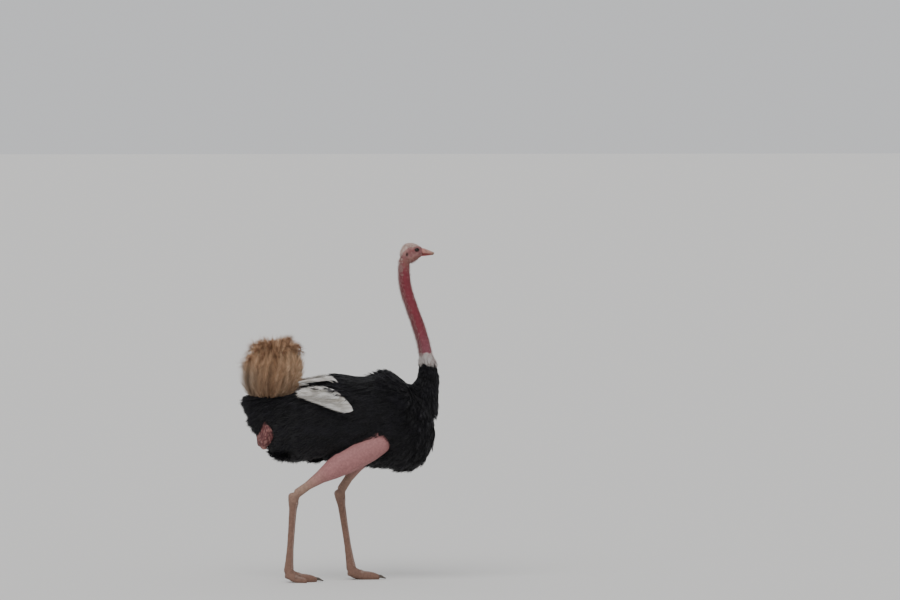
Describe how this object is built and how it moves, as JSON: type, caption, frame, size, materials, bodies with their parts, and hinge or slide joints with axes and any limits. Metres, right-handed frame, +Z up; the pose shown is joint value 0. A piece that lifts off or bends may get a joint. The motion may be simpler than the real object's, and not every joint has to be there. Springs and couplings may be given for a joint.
{
  "type": "male masai ostrich",
  "caption": "Life-size still model of a male Masai ostrich walking, with pink neck and legs, black body plumage, white wing plumes and a raised tan tail.",
  "frame": {"origin": "on the floor, under the middle of the bird's length and width", "axes": "+X is the way the bird walks, +Y its left, +Z up"},
  "size_m": [1.2603, 0.563, 2.1268],
  "materials": {
    "plumage_black": "matte",
    "plumage_white": "matte",
    "plumage_tan": "matte",
    "skin_pink": "satin",
    "skin_leg": "satin",
    "bill_horn": "satin",
    "claw_horn": "satin",
    "eye_brown": "gloss"
  },
  "bodies": {
    "root": {"bill_lower": "bill_horn", "bill_upper": "bill_horn", "claw_left": "claw_horn", "claw_right": "claw_horn", "drumstick_left": "skin_leg", "drumstick_right": "skin_leg", "ear_left": "skin_pink", "ear_right": "skin_pink", "eye_left": "eye_brown", "eye_right": "eye_brown", "head": "skin_pink", "neck_base": "plumage_black", "neck_collar": "plumage_white", "neck_lower": "skin_pink", "neck_middle": "skin_pink", "neck_upper": "skin_pink", "plumes_lower_left": "plumage_white", "plumes_lower_right": "plumage_white", "plumes_upper_left": "plumage_white", "plumes_upper_right": "plumage_white", "shank_left": "skin_leg", "shank_right": "skin_leg", "tail": "plumage_tan", "toe_large_left": "skin_leg", "toe_large_right": "skin_leg", "toe_small_left": "skin_leg", "toe_small_right": "skin_leg", "trunk": "plumage_black", "vent": "skin_pink", "wing_left": "plumage_black", "wing_right": "plumage_black"}
  },
  "joints": []
}
